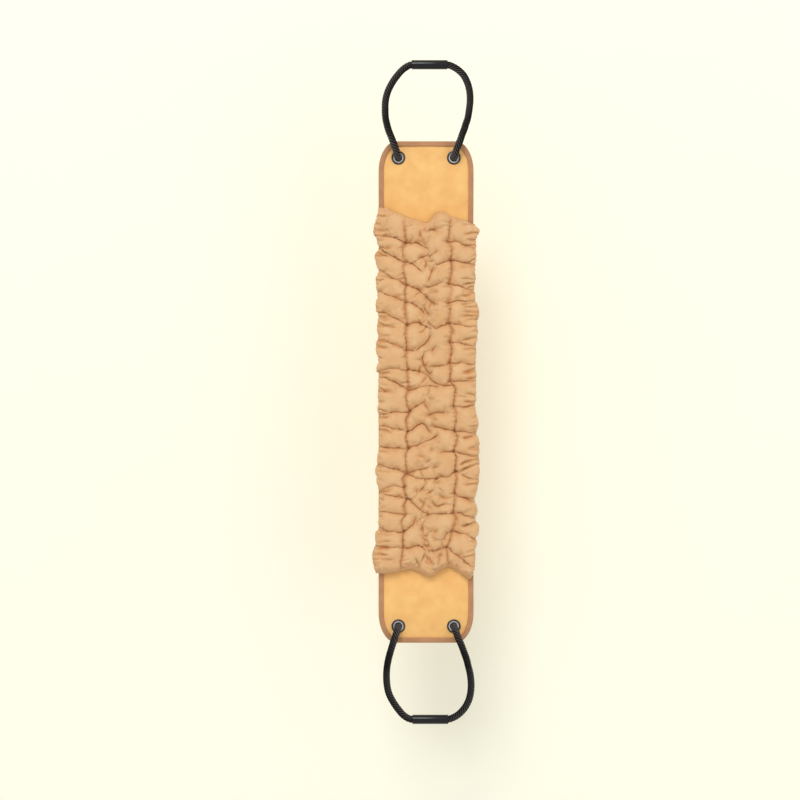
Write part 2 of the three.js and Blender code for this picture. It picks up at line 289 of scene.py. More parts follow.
def ride_on(item, body, slot, *nodes):
    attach(item, body)
    if nodes:
        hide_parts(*nodes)


def make_handle(end):
    """The two runs of rope and the sleeve that holds their ends together."""
    body, pad = f"handle_{end}", f"pad_{end}"
    x, y = SLEEVE[end]
    half = SLEEVE_LENGTH / 2
    profile = rounded([(SLEEVE_BORE, -half), (SLEEVE_RADIUS, -half),
                       (SLEEVE_RADIUS, half), (SLEEVE_BORE, half)], 0.7)
    sleeve = turned(f"glossy_sleeve_{end}", profile, (x, y, SLEEVE_RADIUS), 64, "x")
    ride_on(sleeve, body, "sleeve_plastic", f"{end}_rope_sleeve")
    sleeve.data.materials.append(material("sleeve_gloss"))
    for side in SIDES:
        node = f"{end}_rope_{side}"
        path = even_path(ROPE_RUNS[node])
        run = twisted_rope(f"rope_run_{end}_{side}", path)
        run.data.materials.append(material("rope_black"))
        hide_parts(node)
        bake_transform(run)


def make_crossing(end):
    """The rope's run behind the pad, up into both eyelets."""
    y = ENDS[end] * EYELET[1]
    x, bed = EYELET[0], ROPE_BED
    turn = 8
    bend = [math.radians(a) for a in (22.5, 45, 67.5)]
    left = [(-x, y, 20), (-x, y, bed + turn)]
    left += [(-x + turn * (1 - math.cos(a)), y, bed + turn * (1 - math.sin(a))) for a in bend]
    left += [(-x + turn, y, bed), (-x / 2, y, bed)]
    points = left + [(0, y, bed)] + [(-p[0], p[1], p[2]) for p in reversed(left)]
    rope = twisted_rope(f"rope_behind_pad_{end}", even_path(points), (0, 1, 0))
    rope.data.materials.append(material("rope_black"))
    ride_on(rope, f"pad_{end}", "rope", f"rope_crossing_{end}")


# ---- Materials: each is built once, by its own function, and shared ----
def node(tree, kind, inputs=(), **settings):
    item = tree.nodes.new(kind)
    for key, value in settings.items():
        setattr(item, key, value)
    for key, value in dict(inputs).items():
        if isinstance(value, bpy.types.NodeSocket):
            tree.links.new(value, item.inputs[key])
        else:
            item.inputs[key].default_value = value
    return item


def new_material(name, color, roughness, **sockets):
    """A Principled material: its even values are set on the shader itself."""
    made = bpy.data.materials.new(name)
    made.use_nodes = True
    tree = made.node_tree
    shader = tree.nodes["Principled BSDF"]
    shader.inputs["Base Color"].default_value = (*color, 1)
    shader.inputs["Roughness"].default_value = roughness
    for key, value in sockets.items():
        shader.inputs[key.replace("_", " ")].default_value = value
    return made, tree, shader


def cloth_plane(tree, scale=(1, 1, 1), angle=0.0):
    """Millimetres on the cloth itself, from the piece's UV map, turned and stretched."""
    place = node(tree, "ShaderNodeUVMap", uv_map="uv")
    return node(tree, "ShaderNodeMapping", {
        "Vector": place.outputs["UV"], "Rotation": (0, 0, angle), "Scale": tuple(100 * s for s in scale),
    }).outputs["Vector"]


def noise_on(tree, vector, scale, detail=3.0):
    settings = {"Vector": vector, "Scale": scale, "Detail": detail}
    return node(tree, "ShaderNodeTexNoise", settings).outputs["Fac"]


def bands(tree, vector, pitch):
    """A smooth wave from 0 to 1 across the plane's first direction."""
    x = node(tree, "ShaderNodeSeparateXYZ", {"Vector": vector}).outputs["X"]
    turn = math_node(tree, "MULTIPLY", x, 2 * math.pi / pitch)
    wave = math_node(tree, "SINE", turn)
    return math_node(tree, "MULTIPLY_ADD", wave, 0.5, 0.5)


def math_node(tree, operation, *values):
    item = node(tree, "ShaderNodeMath", operation=operation)
    for i, value in enumerate(values):
        if isinstance(value, bpy.types.NodeSocket):
            tree.links.new(value, item.inputs[i])
        else:
            item.inputs[i].default_value = value
    return item.outputs[0]


def set_tint(tree, shader, factor, low, high):
    mix = tree.nodes.new("ShaderNodeMix")
    mix.data_type = "RGBA"
    tree.links.new(factor, mix.inputs[0])
    mix.inputs[6].default_value = (*low, 1)
    mix.inputs[7].default_value = (*high, 1)
    tree.links.new(mix.outputs[2], shader.inputs["Base Color"])
    return mix.outputs[2]


def set_bump(tree, shader, height, distance, strength=1.0):
    bump = node(tree, "ShaderNodeBump", {"Height": height, "Distance": distance * MM, "Strength": strength})
    tree.links.new(bump.outputs["Normal"], shader.inputs["Normal"])


def rope_black():
    """Black rope: each strand's crest is painted lighter as a painted highlight, and its yarns run along it.
    """
    made, tree, shader = new_material("rope_black", (0.02, 0.018, 0.018), 0.7, Specular_IOR_Level=0.12)
    crest = bands(tree, cloth_plane(tree), 100 / ROPE_STRANDS)
    # The strand crests get a painted highlight, broken up by the yarns.
    painted_highlight = math_node(tree, "POWER", crest, 3.0)
    yarn = noise_on(tree, cloth_plane(tree, (1.2, 0.25, 1)), 1.0)
    painted_highlight_along_yarns = math_node(tree, "MULTIPLY", painted_highlight, yarn)
    set_tint(tree, shader, painted_highlight_along_yarns, (0.003, 0.0025, 0.003), (0.2, 0.18, 0.175))
    set_bump(tree, shader, yarn, 0.3)
    return made


def sleeve_gloss():
    made, tree, shader = new_material("sleeve_gloss", (0.006, 0.006, 0.007), 0.16, Specular_IOR_Level=0.35)
    place = node(tree, "ShaderNodeTexCoord").outputs["Object"]
    wear = noise_on(tree, place, 90.0)
    rough = math_node(tree, "MULTIPLY_ADD", wear, 0.22, 0.06)
    tree.links.new(rough, shader.inputs["Roughness"])
    set_bump(tree, shader, noise_on(tree, place, 45.0, 1.0), 0.25)
    return made


def eyelet_black():
    made, tree, shader = new_material("eyelet_black", (0.010, 0.011, 0.012), 0.22, Coat_Weight=0.4,
                                      Coat_Roughness=0.1)
    place = node(tree, "ShaderNodeTexCoord").outputs["Object"]
    wear = noise_on(tree, place, 320.0)
    set_tint(tree, shader, wear, (0.006, 0.007, 0.008), (0.022, 0.023, 0.025))
    rough = math_node(tree, "MULTIPLY_ADD", wear, 0.25, 0.12)
    tree.links.new(rough, shader.inputs["Roughness"])
    return made


def bright_metal():
    made, tree, shader = new_material("bright_metal", (0.95, 0.95, 0.93), 0.3, Metallic=0.15)
    place = node(tree, "ShaderNodeTexCoord").outputs["Object"]
    scratch = noise_on(tree, place, 500.0)
    set_tint(tree, shader, scratch, (0.90, 0.90, 0.88), (0.97, 0.97, 0.95))
    rough = math_node(tree, "MULTIPLY_ADD", scratch, 0.3, 0.12)
    tree.links.new(rough, shader.inputs["Roughness"])
    return made


def knit(name, low, high, sheen):
    """Smooth knitted cloth: fine loops, with soft blotches of tone."""
    made, tree, shader = new_material(name, low, 0.62, Sheen_Weight=sheen, Sheen_Roughness=0.5)
    plane = cloth_plane(tree)
    wales = bands(tree, plane, 0.9)
    courses = bands(tree, cloth_plane(tree, angle=math.pi / 2), 1.1)
    loops = math_node(tree, "MULTIPLY", wales, courses)
    blotch = noise_on(tree, plane, 0.05, 4.0)
    grain = math_node(tree, "MULTIPLY_ADD", loops, 0.25, blotch)
    set_tint(tree, shader, grain, low, high)
    set_bump(tree, shader, loops, 0.12)
    return made


def panel_cloth():
    return knit("panel_cloth", (0.80, 0.38, 0.11), (1.0, 0.62, 0.215), 0.1)


def back_cloth():
    return knit("back_cloth", (0.84, 0.42, 0.13), (0.95, 0.54, 0.18), 0.1)


def foam():
    made, tree, shader = new_material("foam", (0.88, 0.79, 0.60), 0.9)
    settings = {"Vector": cloth_plane(tree), "Scale": 1.2}
    cells = node(tree, "ShaderNodeTexVoronoi", settings).outputs["Distance"]
    set_tint(tree, shader, cells, (0.70, 0.60, 0.42), (0.90, 0.82, 0.64))
    set_bump(tree, shader, cells, 0.4)
    return made


def binding_tape():
    """Ribbed tape: the ribs run across it, with a little fading along its fold."""
    made, tree, shader = new_material("binding_tape", (0.50, 0.26, 0.13), 0.7, Sheen_Weight=0.2)
    ribs = bands(tree, cloth_plane(tree, angle=math.pi / 2), 1.5)
    weave = bands(tree, cloth_plane(tree), 0.6)
    cloth = math_node(tree, "MULTIPLY_ADD", weave, 0.2, ribs)
    blotch = noise_on(tree, cloth_plane(tree), 0.07, 4.0)
    shade = math_node(tree, "MULTIPLY_ADD", ribs, 0.35, blotch)
    set_tint(tree, shader, shade, (0.37, 0.155, 0.062), (0.62, 0.31, 0.15))
    set_bump(tree, shader, cloth, 0.3)
    return made


def ruffle_net():
    """Soft net: fine threads crossing in diamonds, thicker and deeper in colour inside the folds: partly the
    net lying there in layers, partly painted shade.
    """
    made, tree, shader = new_material("ruffle_net", (0.80, 0.52, 0.27), 0.75, Sheen_Weight=0.25,
                                      Sheen_Roughness=0.4)
    slant = math.radians(32)
    one = bands(tree, cloth_plane(tree, angle=slant), 1.5)
    two = bands(tree, cloth_plane(tree, angle=-slant), 1.5)
    gaps = math_node(tree, "MULTIPLY", one, two)
    blotch = noise_on(tree, cloth_plane(tree), 0.045, 5.0)
    streak = noise_on(tree, cloth_plane(tree, (0.12, 1.4, 1)), 0.6, 3.0)
    fold = node(tree, "ShaderNodeAttribute", attribute_name="fold").outputs["Fac"]
    broad = math_node(tree, "MULTIPLY", blotch, 0.8)
    tone = math_node(tree, "ADD", broad, math_node(tree, "MULTIPLY", streak, 0.4))
    shade = math_node(tree, "SUBTRACT", tone, math_node(tree, "MULTIPLY", gaps, 0.25))
    # The fold attribute darkens the creases: partly the layered net's deeper colour, partly painted shade.
    shade = math_node(tree, "SUBTRACT", shade, math_node(tree, "MULTIPLY", fold, 1.1))
    set_tint(tree, shader, shade, (0.68, 0.315, 0.105), (0.86, 0.585, 0.312))
    height = math_node(tree, "SUBTRACT", math_node(tree, "MULTIPLY", streak, 1.2), gaps)
    set_bump(tree, shader, height, 0.3)
    return made


def sewing_thread():
    made, tree, shader = new_material("sewing_thread", (0.66, 0.37, 0.16), 0.6, Sheen_Weight=0.2)
    place = node(tree, "ShaderNodeTexCoord").outputs["Object"]
    twist = noise_on(tree, place, 900.0)
    set_tint(tree, shader, twist, (0.54, 0.27, 0.10), (0.78, 0.47, 0.23))
    set_bump(tree, shader, twist, 0.2)
    return made


def pale_floor():
    made, tree, shader = new_material("pale_floor", (0.97, 0.96, 0.82), 0.95)
    place = node(tree, "ShaderNodeTexCoord").outputs["Object"]
    set_tint(tree, shader, noise_on(tree, place, 3.0), (0.96, 0.955, 0.80), (0.98, 0.97, 0.83))
    # A faint glow, as of a light table, keeps the strap's shadow pale.
    shader.inputs["Emission Color"].default_value = (1.0, 1.0, 0.85, 1)
    shader.inputs["Emission Strength"].default_value = 0.06
    return made


MAKERS = {maker.__name__: maker for maker in (
    rope_black, sleeve_gloss, eyelet_black, bright_metal, panel_cloth, back_cloth, foam,
    binding_tape, ruffle_net, sewing_thread, pale_floor)}
made_materials = {}


def material(name):
    if name not in made_materials:
        made_materials[name] = MAKERS[name]()
    return made_materials[name]


# ---- Halves: a soft piece is made whole, then parted at the strap's middle ----
def bend_half(item):
    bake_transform(item)


def finish_half(item, end, look, slot, *nodes):
    item.data.materials.append(material(look))
    if nodes:
        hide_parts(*nodes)
    bend_half(item)


# ---- Pad: two panels and a foam core, each a closed slab with its own surface ----
def pad_rows():
    """Stations along half of the pad, closer together round its corners."""
    straight = np.linspace(0, HALF_LENGTH - CORNER[1], 116)
    corner = HALF_LENGTH - CORNER[1] * (1 - np.sin(np.linspace(0, math.pi / 2, 20)))
    return np.concatenate([straight, corner[1:]])


def calm_round_eyelets(x, y):
    """0 at an eyelet, rising to 1 a little way off."""
    away = np.hypot(np.abs(x) - EYELET[0], np.abs(y) - EYELET[1])
    return 1 - np.exp(-((away / 13) ** 4))


def face_relief(x, y):
    """Soft waves in the front cloth: pulled down at its edges, puckered round the eyelets."""
    edge = np.minimum(half_width(y) - np.abs(x), HALF_LENGTH - np.abs(y)) - TAPE_FACE
    pulled = -0.7 * np.exp(-np.maximum(edge, 0) / 4)
    waves = 0.55 * noise2(x / 34 + 3, y / 15, 11) + 0.3 * noise2(x / 14, y / 9 + 5, 12)
    rings = 0
    for side in (-1, 1):
        dx, dy = x - side * EYELET[0], np.abs(y) - EYELET[1]
        away = np.hypot(dx, dy)
        pucker = 0.45 * np.cos(7 * np.arctan2(dy, dx) + side) * np.exp(-(away - EYELET_FLANGE) / 9)
        rings = rings + np.where(away > EYELET_FLANGE, pucker, 0) - 0.4 * np.exp(-((away / 11) ** 4))
    near = smoothstep((np.abs(y) - 200) / 40)
    return pulled + near * (waves * calm_round_eyelets(x, y) + rings * 0.6)


def back_relief(x, y):
    """The back cloth is drawn in along the two seams and at its edges."""
    edge = np.minimum(half_width(y) - np.abs(x), HALF_LENGTH - np.abs(y)) - TAPE_FACE
    drawn = 0.35 * np.exp(-np.maximum(edge, 0) / 4)
    sewn = 0
    for seam in SEAM_X:
        puckers = 1 + 0.35 * np.sin(2 * math.pi * y / 5.5)
        sewn = sewn + 0.8 * np.exp(-np.abs(x - seam) / 3.5) * puckers
    along = 1 - smoothstep((np.abs(y) - 252) / 6)
    waves = 0.25 * noise2(x / 22, y / 18, 15) * calm_round_eyelets(x, y)
    return drawn + sewn * along + 0.25 + waves


def slab_half(name, end, levels, top=None, bottom=None, inset=PANEL_INSET):
    """Half of a layer of the pad, from the middle to one end."""
    sign = ENDS[end]
    across = np.linspace(-1, 1, 61)
    rings, uvs = [], []
    for y in pad_rows():
        y = min(y, HALF_LENGTH - inset)
        x = across * half_width(y, inset)
        high = levels[1] + rise(y) + (top(x, sign * y) if top else 0 * x)
        low = levels[0] + rise(y) + (bottom(x, sign * y) if bottom else 0 * x)
        row = np.full_like(x, sign * y)
        ring = np.concatenate([np.stack([x, row, high], 1), np.stack([x, row, low], 1)[::-1]])
        rings.append(ring)
        uvs.append(ring[:, :2] / 100)
    verts, faces = loft(np.array(rings))
    item = add_object(name, verts, faces, np.concatenate(uvs))
    outward(item)
    pierce(item, end)
    return item


def pierce(item, end):
    """Cut the two eyelets' holes through a layer."""
    for side in SIDES.values():
        bpy.ops.mesh.primitive_cylinder_add(
            vertices=40, radius=(EYELET_BARREL + 0.3) * MM, depth=0.08,
            location=(side * EYELET[0] * MM, ENDS[end] * EYELET[1] * MM, 0.02))
        cutter = bpy.context.object
        cut = item.modifiers.new("hole", "BOOLEAN")
        cut.object = cutter
        cut.solver = "EXACT"
        freeze(item)
        bpy.data.objects.remove(cutter)


def freeze(item):
    """Apply every modifier on a piece."""
    graph = bpy.context.evaluated_depsgraph_get()
    mesh = bpy.data.meshes.new_from_object(item.evaluated_get(graph))
    item.modifiers.clear()
    item.data = mesh


def make_pad(end):
    front = slab_half(f"front_cloth_{end}", end, FRONT_LEVELS, top=face_relief)
    back = slab_half(f"back_cloth_{end}", end, BACK_LEVELS, bottom=back_relief)
    core = slab_half(f"foam_pad_{end}", end, FOAM_LEVELS)
    finish_half(front, end, "panel_cloth", "panel_cloth", *layer_nodes("front_panel", end))
    finish_half(back, end, "back_cloth", "back_cloth", *layer_nodes("back_panel", end))
    finish_half(core, end, "foam", "foam", *layer_nodes("foam_core", end))


def layer_nodes(layer, end):
    """A layer's CAD nodes that this half stands for: the upper half also takes the middle one."""
    nodes = [f"{layer}_{end}"]
    if end == "upper":
        nodes.append(f"{layer}_middle")
    return nodes


# ---- Binding: tape folded round the edge, with a row of stitches near its inner edge ----
def edge_outline(inset, step=2.0):
    """The edge of half the pad, from its right side round to its left, with outward directions."""
    across, along = CORNER
    up = HALF_LENGTH - along
    angles = np.linspace(0, math.pi / 2, 28)
    sides = np.linspace(0, up, round(up / step))[:-1]
    ends = np.linspace(HALF_WIDTH - across, -(HALF_WIDTH - across), round(2 * (HALF_WIDTH - across) / step))
    right = [(HALF_WIDTH, y, 1, 0) for y in sides]
    corner = []
    for a in angles:
        nx, ny = math.cos(a) / across, math.sin(a) / along
        size = math.hypot(nx, ny)
        spot = (HALF_WIDTH - across + across * math.cos(a), up + along * math.sin(a))
        corner.append((*spot, nx / size, ny / size))
    top = [(x, HALF_LENGTH, 0, 1) for x in ends[1:-1]]
    left = [(-x, y, -nx, ny) for x, y, nx, ny in reversed(right + corner)]
    rows = np.array(right + corner + top + left)
    rows[:, :2] -= inset * rows[:, 2:]
    return rows


def tape_section():
    """The folded tape's section: depth in from the edge, and height."""
    face, thick, high = TAPE_FACE, 0.75, TAPE_HIGH
    turns = np.linspace(0.15, math.pi - 0.15, 11)
    bulge = [(0.35 * (1 - math.sin(t)) ** 2, high / 2 * (1 - math.cos(t))) for t in turns]
    bottom = [(face, 0.15), (face - 1.2, 0.0), (face / 2, 0.0), (1.6, 0.0), (0.6, 0.35)]
    top = [(d, high - z) for d, z in reversed(bottom)]
    outer = bottom + bulge[2:-2] + top
    inner = [(face, high - thick - 0.1), (1.0, high - thick - 0.1), (0.85, high / 2),
             (1.0, thick + 0.1), (face, thick + 0.1)]
    return outer + inner


def make_binding(end):
    sign = ENDS[end]
    section = np.array(tape_section())
    depth, height = section.T
    outline = edge_outline(0)
    run = np.concatenate([[0], np.cumsum(np.hypot(*np.diff(outline[:, :2], axis=0).T))])
    rings, uvs = [], []
    girth = np.concatenate([[0], np.cumsum(np.hypot(*np.diff(section, axis=0).T))])
    for (x, y, nx, ny), along in zip(outline, run):
        ring = np.stack([x - depth * nx, sign * (y - depth * ny), height + rise(np.full_like(height, y))], 1)
        slack = 0.25 * noise2(along / 11, depth / 5, 21)
        top = height > TAPE_HIGH / 2
        ring[:, 2] += np.where(top, slack, 0)
        rings.append(ring)
        uvs.append(np.stack([girth / 100, np.full_like(girth, along / 100)], 1))
    verts, faces = loft(np.array(rings))
    item = add_object(f"bound_edge_{end}", verts, faces, np.concatenate(uvs))
    outward(item)
    nodes = [f"edge_binding_{end}"]
    if end == "upper":
        nodes += ["edge_binding_middle_left", "edge_binding_middle_right"]
    finish_half(item, end, "binding_tape", "binding_tape", *nodes)


# ---- Stitches ----
def stitch_row(name, line, up, radius=0.32, stitch=2.8, space=1.1):
    """Stitches along a line of points: each a small rounded thread whose ends are sunk in the cloth."""
    path = even_path(line, 0.7)
    run = np.concatenate([[0], np.cumsum(np.linalg.norm(np.diff(path, axis=0), axis=1))])
    around = np.linspace(0, 2 * math.pi, 6, endpoint=False)
    arch = np.array([-0.35, 0.1, 0.25, 0.1, -0.35]) * up
    size = radius * np.array([0.45, 0.95, 1, 0.95, 0.45])
    verts, faces = [], []
    for start in np.arange(space, run[-1] - stitch, stitch + space):
        stops = np.linspace(start, start + stitch, len(size))
        spine = np.stack([np.interp(stops, run, path[:, i]) for i in range(3)], axis=1)
        spine[:, 2] += arch
        sides, ups = carried_frames(spine, (0.3, 0.3, 1))
        rings = (spine[:, None, :] + (size[:, None] * np.cos(around))[..., None] * sides[:, None, :]
                 + (size[:, None] * np.sin(around))[..., None] * ups[:, None, :])
        points, quads = loft(rings)
        base = len(verts) * len(points)
        verts.append(points)
        faces += [tuple(base + i for i in quad) for quad in quads]
    item = add_object(name, np.concatenate(verts), faces)
    outward(item)
    return item


def make_stitches(end):
    """The binding's stitches, front and back, and the two seams' stitches on the back."""
    sign = ENDS[end]
    outline = edge_outline(TAPE_FACE - 1.4, 6.0)
    for face, level, up in (("front", TAPE_HIGH + 0.05, 1), ("back", 0.05, -1)):
        line = [(x, sign * y, level + float(rise(y))) for x, y, _, _ in outline]
        row = stitch_row(f"binding_stitches_{face}_{end}", line, up)
        finish_half(row, end, "sewing_thread", "thread")
    for side, x in zip(SIDES, SEAM_X):
        line = [(x, sign * y, 0.85 + float(rise(y))) for y in np.linspace(0, 258, 50)]
        row = stitch_row(f"ruffle_seam_{end}_{side}", line, -1, radius=0.4, stitch=3.6, space=1.4)
        nodes = [f"seam_thread_{end}_{side}"]
        if end == "upper":
            nodes.append(f"seam_thread_middle_{side}")
        finish_half(row, end, "sewing_thread", "thread", *nodes)


# ---- Eyelets and washers ----
def make_eyelets(end):
    """Each eyelet: a black flange, a bright lining that flares at its mouth, and a washer on the back."""
    mouth = EYELET_HOLE + 0.7
    throat = ROPE_RADIUS + 0.3
    low, rim, reach = RIM
    crown = [(mouth + 0.15, FLANGE_LOW), (EYELET_FLANGE, FLANGE_LOW),
             (EYELET_FLANGE - 0.4, FLANGE_HIGH - 0.3), (EYELET_FLANGE - 1.2, FLANGE_HIGH + 0.25),
             (mouth + 0.3, FLANGE_HIGH + 0.15)]
    lining = [(throat, low), (reach, low), (reach, rim), (EYELET_BARREL, rim + 0.05),
              (EYELET_BARREL, FLANGE_LOW - 1.0), (mouth + 0.1, FLANGE_LOW),
              (mouth + 0.1, FLANGE_HIGH - 0.2), (mouth - 0.1, FLANGE_HIGH - 0.2),
              (throat, FLANGE_HIGH - 2.0)]
    inner, outer = EYELET_BARREL + 0.3, EYELET_FLANGE
    washer = [(inner, WASHER[0]), (outer, WASHER[0]), (outer, WASHER[1]), (inner, WASHER[1])]
    for side, sx in SIDES.items():
        centre = (sx * EYELET[0], ENDS[end] * EYELET[1], 0)
        rings = [("flange", crown, 0.5, "eyelet_black", "eyelet_metal", [f"eyelet_{end}_{side}"]),
                 ("lining", lining, 0.25, "bright_metal", "washer_metal", []),
                 ("washer", washer, 0.3, "bright_metal", "washer_metal", [f"washer_{end}_{side}"])]
        for kind, profile, corner, look, slot, nodes in rings:
            ring = turned(f"eyelet_{kind}_{end}_{side}", rounded(profile, corner), centre, 64)
            ring.data.materials.append(material(look))
            ride_on(ring, f"pad_{end}", slot, *nodes)


# ---- Ruffle: a sheet of net gathered along two seams, so it stands up in rows of puffs ----
RUFFLE_REACH = 92                # along the cloth, from its centre line to its hem
RUFFLE_STEP = 1.5
RUFFLE_CREST = 19.0
SETTLE_LIMIT = 6.0               # most that the simulation may move any point of the net
# Its uneven ends and side edges, and its pleats, as they lie: distances across and along the strap.
UPPER_HEM = [(-92, 256), (-61, 257), (-45, 251), (-29, 243), (-10, 237), (2, 234), (13, 248), (25, 250),
             (33, 244), (50, 239), (66, 234), (92, 233)]
LOWER_HEM = [(-92, -251), (-60, -253), (-30, -248), (-22, -246), (-8, -251), (3, -256), (12, -255),
             (21, -245), (33, -242), (48, -252), (60, -261), (70, -254), (92, -250)]
LEFT_EDGE = [(-258, 69), (-242, 72), (-226, 74), (-206, 69), (-196, 70), (-184, 64), (-168, 65),
             (-150, 63), (-131, 66), (-110, 69), (-87, 66), (-71, 62), (-60, 60), (-38, 60), (-29, 67),
             (-20, 66), (4, 65), (18, 61), (31, 69), (46, 64), (54, 67), (70, 69), (80, 63), (97, 64),
             (107, 65), (118, 69), (132, 68), (157, 69), (168, 65), (182, 69), (194, 70), (199, 62),
             (223, 73), (240, 68), (256, 64)]
RIGHT_EDGE = [(-261, 64), (-245, 66), (-224, 66), (-203, 69), (-190, 73), (-176, 68), (-162, 70),
              (-144, 66), (-125, 73), (-108, 72), (-74, 73), (-55, 69), (-43, 71), (-28, 67), (0, 68),
              (36, 68), (72, 69), (97, 70), (111, 72), (125, 68), (136, 66), (157, 68), (196, 69),
              (214, 69), (224, 73), (233, 68)]
# Each pleat: where it meets its seam (across, along), where it meets the outer edge (along), its depth.
LEFT_PLEATS = [(-28, 208.5, 218, 0.7), (-29, 181, 199, 0.8), (-27, 149, 168, 0.7), (-28, 125, 138, 0.6),
               (-26, 94, 112, 0.7), (-27, 60, 73, 0.5), (-25, 33, 30, 0.45), (-24, 5, 21, 0.7),
               (-22, -27, -31, 0.6), (-25, -52, -46, 0.6), (-24, -77, -76, 0.7), (-26, -111, -100, 0.7),
               (-30, -131, -134, 0.4), (-25, -147, -139, 0.6), (-30, -169, -164, 0.55),
               (-31, -192, -187, 0.8), (-31, -215, -213, 0.5)]
RIGHT_PLEATS = [(31, 209, 200, 0.5), (34, 184, 177, 0.8), (32, 151, 141, 0.6), (32, 125, 127, 0.7),
                (31, 96, 91, 0.5), (34, 69, 65, 0.7), (32, 42, 38, 0.7), (33, 17, 16, 0.6),
                (38, -19, -20, 0.4), (39, -52, -57, 0.75), (38, -81, -88, 0.7), (40, -109, -119, 0.7),
                (39, -140, -151, 0.85), (36, -166, -173, 0.7), (36, -192, -201, 0.7),
                (28, -215, -242, 0.75)]
CENTRE_FOLDS = [
    [(-27, 208.5), (-12, 206), (3, 198)], [(-28, 180), (-14, 175), (-3, 165)],
    [(34, 184), (22, 180), (10, 175)], [(-26, 148.5), (-10, 141), (4, 129), (15, 118)],
    [(-25, 125), (-9, 116), (2, 105)], [(-4, 124), (6, 102)],
    [(-26, 94), (-15, 96), (-4, 93.5), (9, 85)], [(32, 96), (20, 91), (9, 85)],
    [(8, 85), (0, 70), (-16, 56)], [(-27, 60), (-21, 59), (-15, 55)],
    [(-1, 58), (-5, 46), (4, 29), (9, 22)], [(32, 41.5), (20, 38), (5, 38)],
    [(-24, 32), (-4, 27), (14, 14), (31, 9)], [(-24, 4), (-14, 6), (2, 9), (20, 5)],
    [(-21, -23), (1, -13)], [(-3, -36), (10, -29), (24, -27)], [(-25, -53), (-6, -44), (9, -59)],
    [(4, -44), (18, -49), (38, -53)], [(-24, -77), (-4, -69), (19, -59)],
    [(38, -81), (24, -83), (14, -86)], [(-4, -100), (7, -91)], [(-24, -108), (-8, -107), (7, -102)],
    [(-26, -113), (-12, -118), (18, -118), (31, -115), (40, -108)], [(-11, -142), (-1, -127)],
    [(-24, -147), (-11, -160), (4, -169)], [(-3, -174), (8, -167), (24, -168), (36, -166)],
    [(-30, -191), (-18, -183), (-15, -170)], [(36, -191), (29, -195), (25, -203)],
    [(-10, -188), (0, -191)], [(-31, -215), (-10, -214), (2, -219), (18, -217), (27, -214)],
    [(14, -233), (22, -218)], [(-16, -228), (-6, -246)], [(4, -224), (8, -240)],
    [(20, -226), (16, -242)], [(-2, -238), (14, -233)], [(-4, 222), (8, 226), (18, 219)],
    [(4, 190), (-8, 186), (-14, 181)], [(-6, 150), (8, 147), (22, 152)], [(16, 66), (8, 58), (12, 50)],
    [(-12, 79), (0, 88)], [(14, -140), (24, -146)], [(6, -148), (14, -156), (24, -154)],
]


def line_through(points, a):
    """An uneven edge given by points, with its corners rounded."""
    x, y = np.array(points, dtype=float).T
    return sum(np.interp(a + shift, x, y) for shift in (-2.5, 0, 2.5)) / 3


class Creases:
    """Creases pressed into a sheet. For each point, share is how high it is left, slip how far it hangs
    over the crease below it, and tone how far it is darkened in a fold: partly the layered net's deeper
    colour, partly painted shade."""

    def __init__(self, a, y):
        self.a, self.y = a, y
        self.share = np.ones_like(a)
        self.slip = np.zeros_like(a)
        self.tone = np.zeros_like(a)
        self.patchy = 0.65 + 0.35 * noise2(a / 6, y / 6, 50)

    def press(self, points, depth, above, below, dark=0.0, line=1.0, free=(False, False), hang=0.0):
        """One crease: its cloth rises over one length above the line and over another below it, and its
        bottom is darkened, partly as painted shade.
        """
        path = even_path([(*p, 0) for p in points], 2.0)[:, :2]
        reach = max(above, below)
        low, high = path.min(axis=0) - reach, path.max(axis=0) + reach
        near = (self.a > low[0]) & (self.a < high[0]) & (self.y > low[1]) & (self.y < high[1])
        a, y = self.a[near], self.y[near]
        best = np.full(a.shape, 1e9)
        upper = np.zeros(a.shape, bool)
        place = np.zeros(a.shape)
        for i, (p, q) in enumerate(zip(path, path[1:])):
            run = q - p
            t = np.clip(((a - p[0]) * run[0] + (y - p[1]) * run[1]) / (run @ run), 0, 1)
            da, dy = a - p[0] - t * run[0], y - p[1] - t * run[1]
            gap = np.hypot(da, dy)
            closer = gap < best
            best = np.where(closer, gap, best)
            upper = np.where(closer, dy > 0, upper)
            place = np.where(closer, (i + t) / (len(path) - 1), place)
        length = 2.0 * (len(path) - 1)
        fade = np.ones(a.shape)
        if free[0]:
            fade = fade * smoothstep(place * length / 10)
        if free[1]:
            fade = fade * smoothstep((1 - place) * length / 10)
        width = np.where(upper, above, below)
        notch = np.clip(1 - best / width, 0, 1) ** np.where(upper, 1.7, 2.1)
        self.share[near] *= 1 - depth * fade * notch
        # A dark line along the crease's bottom: painted shade, and the deeper colour of net bunched there.
        deep = dark * fade * self.patchy[near] * np.exp(-(best / line) ** 2)
        self.tone[near] = np.maximum(self.tone[near], deep)
        self.slip[near] += np.where(upper, hang * fade * (best / 3) * np.exp(1 - best / 3), 0)

    def fold(self, points, depth, free=(False, False)):
        """A main fold: a broad dip with a sharp line at its bottom, darkened partly with painted shade."""
        self.press(points, 0.5 * depth, 7.5, 13, free=free, hang=2.6 * depth)
        self.press(points, 0.3 * depth, 2.2, 3.0, 0.7 * depth, 1.0, free)


def pleat_line(pleat, out, rng):
    """A pleat's crease from its seam out over the side of the ruffle."""
    across, along, outer, _ = pleat
    edge = out * 66
    bow = rng.uniform(-2, 2)
    return [(across, along), ((across + edge) / 2, (along + outer) / 2 + bow), (edge, outer),
            (out * RUFFLE_REACH, outer + rng.uniform(-5, 5))]


